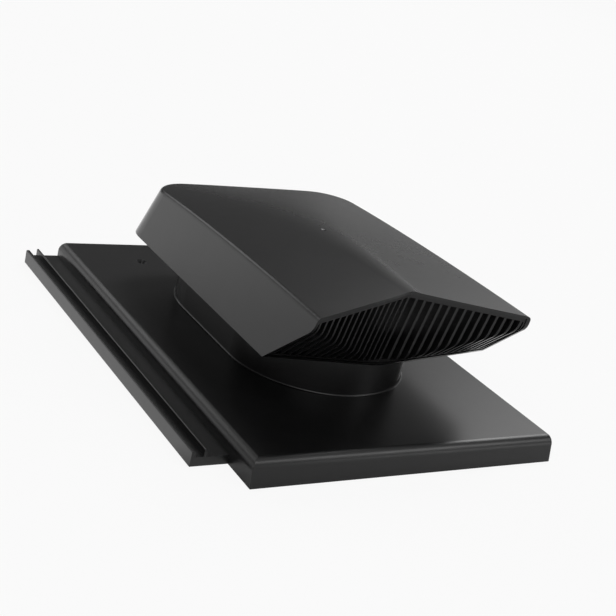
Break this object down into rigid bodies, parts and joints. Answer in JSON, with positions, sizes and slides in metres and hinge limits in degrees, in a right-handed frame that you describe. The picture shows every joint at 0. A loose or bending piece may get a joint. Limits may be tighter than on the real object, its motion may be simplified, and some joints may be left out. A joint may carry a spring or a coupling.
{
  "type": "roof tile vent",
  "caption": "Flat interlocking roof tile with an oval upstand under a gabled hood, whose swept-back mouth is closed by a slatted grille.",
  "frame": {"origin": "on the axis of the oval throat, in the plane of the tile's underside", "axes": "+X across the slope to the right, +Y up the slope, +Z out of the roof; the hood's mouth faces -Y"},
  "size_m": [0.325, 0.42, 0.1307],
  "materials": {
    "tile_plastic": "satin",
    "hood_plastic": "satin",
    "grille_plastic": "satin"
  },
  "bodies": {
    "root": {"base_tile": "tile_plastic", "hood": "hood_plastic", "front_grille": "grille_plastic"}
  },
  "joints": []
}
